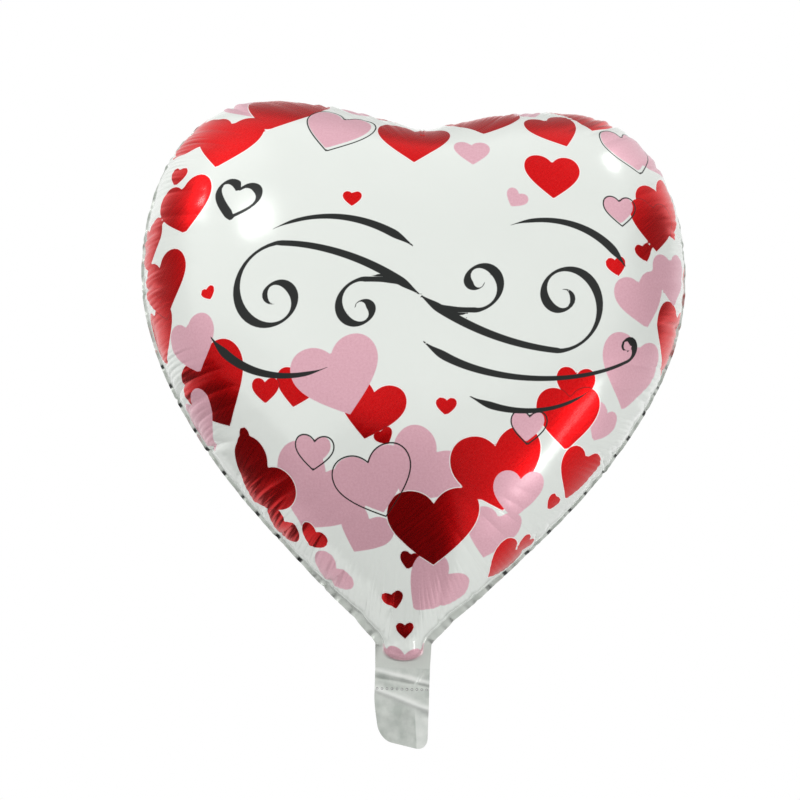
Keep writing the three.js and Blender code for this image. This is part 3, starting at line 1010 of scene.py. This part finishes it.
def bare_material():
    """The tail's unprinted film: satin silver, painted lighter along its creases as a painted highlight,
    and with painted shade round the tear line's holes.
    """
    shade = Shade("bare_film")
    flat = shade.flat()
    grain = shade.noise(flat, 0.5, 3.0, 0.7)
    cloudy = shade.noise(flat, 9.0, 3.0)
    brushed = shade.noise(shade.flat(0.0, (1.0, 0.06)), 1.2, 2.0)
    tone = shade.mix(shade.ramp(cloudy, 0.35, 0.65), (0.50, 0.54, 0.50), (0.66, 0.69, 0.65))
    # Painted highlight: the film is painted lighter along its creases.
    tone = shade.mix(shade.ramp(shade.value("fold"), 0.0, 1.0), tone, (0.84, 0.86, 0.83))
    # Painted shade darkens the film round the tear line's holes.
    tone = shade.mix(shade.value("painted_hole_shade"), tone, PAINTED_DARK_GREY)
    shade.feed(shade.shader.inputs["Base Color"], tone)
    shade.shader.inputs["Metallic"].default_value = 0.55
    shade.feed(shade.shader.inputs["Roughness"], shade.ramp(grain, 0.3, 0.7, 0.36, 0.5))
    soft = shade.bump(brushed, 0.03)
    shade.feed(shade.shader.inputs["Normal"], shade.bump(grain, 0.015, soft))
    return shade.material


def valve_material():
    """The flat inner tube: milky film with faint flow lines."""
    shade = Shade("valve_film")
    where = shade.nodes.new("ShaderNodeTexCoord").outputs["Object"]
    stretched = shade.nodes.new("ShaderNodeMapping")
    stretched.inputs["Scale"].default_value = (1.0 / MM, 1.0 / MM, 0.08 / MM)
    shade.links.new(where, stretched.inputs["Vector"])
    lines = shade.noise(stretched.outputs[0], 1.5, 3.0)
    tone = shade.mix(shade.ramp(lines, 0.35, 0.65), (0.62, 0.68, 0.70), (0.78, 0.82, 0.83))
    shade.feed(shade.shader.inputs["Base Color"], tone)
    shade.feed(shade.shader.inputs["Roughness"], shade.ramp(lines, 0.3, 0.7, 0.3, 0.45))
    shade.feed(shade.shader.inputs["Normal"], shade.bump(lines, 0.02))
    shade.shader.inputs["Transmission Weight"].default_value = 0.3
    return shade.material


# ---- making meshes ----

FLAT_EDGE = 0.01  # of the map, left empty round the film
FLAT_LOW = film.flat.min(axis=0)
FLAT_HIGH = film.flat.max(axis=0)
FLAT_SPAN = (FLAT_HIGH - FLAT_LOW).max() / (1 - 2 * FLAT_EDGE)


def make_mesh(name, places, faces, material, attributes, flat):
    """A smooth-shaded object, from millimetres, with per-point values and a map of its flat film."""
    mesh = bpy.data.meshes.new(name)
    mesh.from_pydata((np.asarray(places) * MM).tolist(), [], np.asarray(faces).tolist())
    for key, values in attributes.items():
        values = np.asarray(values, np.float32)
        kind, slot = ("FLOAT", "value") if values.ndim == 1 else ("FLOAT_VECTOR", "vector")
        mesh.attributes.new(key, kind, "POINT").data.foreach_set(slot, values.ravel())
    mapped = FLAT_EDGE + (flat - flat.min(axis=0)) / FLAT_SPAN
    corners = np.zeros(len(mesh.loops), np.int32)
    mesh.loops.foreach_get("vertex_index", corners)
    mesh.uv_layers.new(name="OFBake").data.foreach_set("uv", mapped[corners].astype(np.float32).ravel())
    mesh.polygons.foreach_set("use_smooth", np.ones(len(mesh.polygons), bool))
    mesh.materials.append(material)
    made = bpy.data.objects.new(name, mesh)
    bpy.context.scene.collection.objects.link(made)
    return made


def make_film(side, material, fields):
    """The front film, or the back one as its mirror image with the same print."""
    outwards = -1.0 if side == "front" else 1.0
    places = film.places.copy()
    places[:, 1] = places[:, 1] * outwards + film.wave
    faces = film.triangles if side == "front" else film.triangles[:, ::-1]
    flat = film.flat * (-outwards, 1.0)
    attributes = {"margin": film.margin, "dash": film.dash, **fields}
    made = make_mesh(f"{side}_film", places, faces, material, attributes, flat)
    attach(made, "chamber")
    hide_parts(f"{side}_panel")
    return made


def sheet_faces(rows, columns):
    """Quads of a sheet whose points are stored row by row."""
    i, j = np.meshgrid(np.arange(rows - 1), np.arange(columns - 1), indexing="ij")
    a = (i * columns + j).ravel()
    return np.stack([a, a + 1, a + columns + 1, a + columns], axis=1)


def tail_relief(x, z):
    """How the whole tail waves out of its middle plane, and how strongly each place is creased, which the
    bare film paints lighter as a painted highlight.
    """
    depth_here = smooth(-z, -0.5, 8.0)
    across = x / HALF_TAIL
    slant = z + 21.0 + 0.36 * x
    fold_right = x - 9.5 + 0.06 * (z + 40.0)
    low = smooth(-z, 26.0, 34.0)
    relief = 0.55 * np.exp(-((slant / 2.2) ** 2))
    relief += 0.45 * np.exp(-(((z + 6.0 + 0.22 * x) / 1.6) ** 2)) * (1 - 0.5 * across**2)
    relief -= 0.35 * np.exp(-(((z + 9.5 + 0.15 * x) / 1.4) ** 2))
    relief -= low * 0.20 * np.maximum(fold_right, 0.0)
    relief += 0.5 * np.sin(x / 5.2 + 0.6) * smooth(-z, 0.0, 10.0) * (1 - 0.6 * low)
    relief += 0.22 * np.sin(x / 2.3 + z / 9.0) * smooth(-z, 2.0, 9.0) * (1 - smooth(-z, 12.0, 22.0))
    relief += 0.9 * np.sin((z + 30.0) / 16.0) * low
    relief -= 0.6 * np.exp(-(((x - 12.0 - 0.5 * (z + 6.0)) / 1.1) ** 2)) * (1 - smooth(-z, 9.0, 13.0))
    fold = 0.8 * np.exp(-((slant / 2.6) ** 2)) + 0.7 * np.exp(-(((z + 5.0 + 0.22 * x) / 2.0) ** 2))
    fold += 0.45 * low * smooth(fold_right, -0.3, 0.6)
    return relief * depth_here, np.clip(fold, 0.0, 1.0)


PERFORATION_COUNT = 11
PERFORATION_WIDTH = 0.7
PERFORATION_DEPTH = 0.35
PERFORATION_LINE = -14.0


def perforation_aside(x):
    """How far each place is from the middle of the nearest hole of the tear line."""
    pitch = 2 * HALF_TAIL / PERFORATION_COUNT
    return (x + HALF_TAIL) % pitch - pitch / 2


def perforation(x):
    """How deep the half holes of the tear line cut into each edge."""
    round_ = 1 - (perforation_aside(x) / (PERFORATION_WIDTH / 2)) ** 2
    return PERFORATION_DEPTH * np.sqrt(np.maximum(round_, 0.0))


def tail_bottom(x):
    """The tab's cut end: a little slanted, with round corners."""
    level = tab_low[2] + 3.6 * (1 - x / HALF_TAIL)
    corner = np.where(x < 0, 10.0, 9.0)
    into = np.clip((np.abs(x) - (HALF_TAIL - corner)) / corner, 0.0, 1.0)
    return level + corner * (1 - np.sqrt(1 - into**2))


TAIL_COLUMNS = 191


def make_tail_film(part, side, top, bottom, rows, material):
    """One ply of the neck or the tab, which lies below the fold line."""
    outwards = -1.0 if side == "front" else 1.0
    turn = np.linspace(-math.pi / 2, math.pi / 2, TAIL_COLUMNS)
    even = np.linspace(-1.0, 1.0, TAIL_COLUMNS)
    x = HALF_TAIL * (0.75 * even + 0.25 * np.sin(turn))
    share = np.linspace(0.0, 1.0, rows)[:, None]
    z = top(x) + (bottom(x) - top(x)) * share
    x = np.broadcast_to(x, z.shape)
    relief, fold = tail_relief(x, z)
    hole = np.hypot(perforation_aside(x), z - PERFORATION_LINE)
    # Painted shade round each hole of the tear line.
    painted_hole_shade = 1 - smooth(hole, PERFORATION_WIDTH / 2, 1.5 * PERFORATION_WIDTH)
    y = outwards * FILM_OFFSET - relief
    narrowed = x + 4.0 * smooth(-z, 18.0, 52.0) * (1 - x / HALF_TAIL) / 2
    places = np.stack([narrowed, y, z], axis=-1).reshape(-1, 3)
    faces = sheet_faces(rows, TAIL_COLUMNS)
    if side == "front":
        faces = faces[:, ::-1]
    flat = places[:, [0, 2]] * (-outwards, 1.0)
    # The crease strength carries the painted highlight, and the hole mark carries the painted shade.
    attributes = {"fold": fold.ravel(), "painted_hole_shade": painted_hole_shade.ravel()}
    made = make_mesh(f"{part}_{side}_film", places, faces, material, attributes, flat)
    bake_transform(made)
    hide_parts(f"{part}_{side}_ply")
    return made


def neck_top(x):
    return np.full_like(x, panel_low[2])


def neck_bottom(x):
    return PERFORATION_LINE + perforation(x)


def tab_top(x):
    return PERFORATION_LINE - perforation(x)


printed = printed_material()
bare = bare_material()
fields = print_fields(film.flat)
for side in ("front", "back"):
    make_film(side, printed, fields)
    make_tail_film("neck", side, neck_top, neck_bottom, 60, bare)
    make_tail_film("tab", side, tab_top, tail_bottom, 110, bare)

inner_film = valve_material()
for name in ("valve_front_ply", "valve_back_ply"):
    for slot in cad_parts[name].material_slots:
        slot.material = inner_film
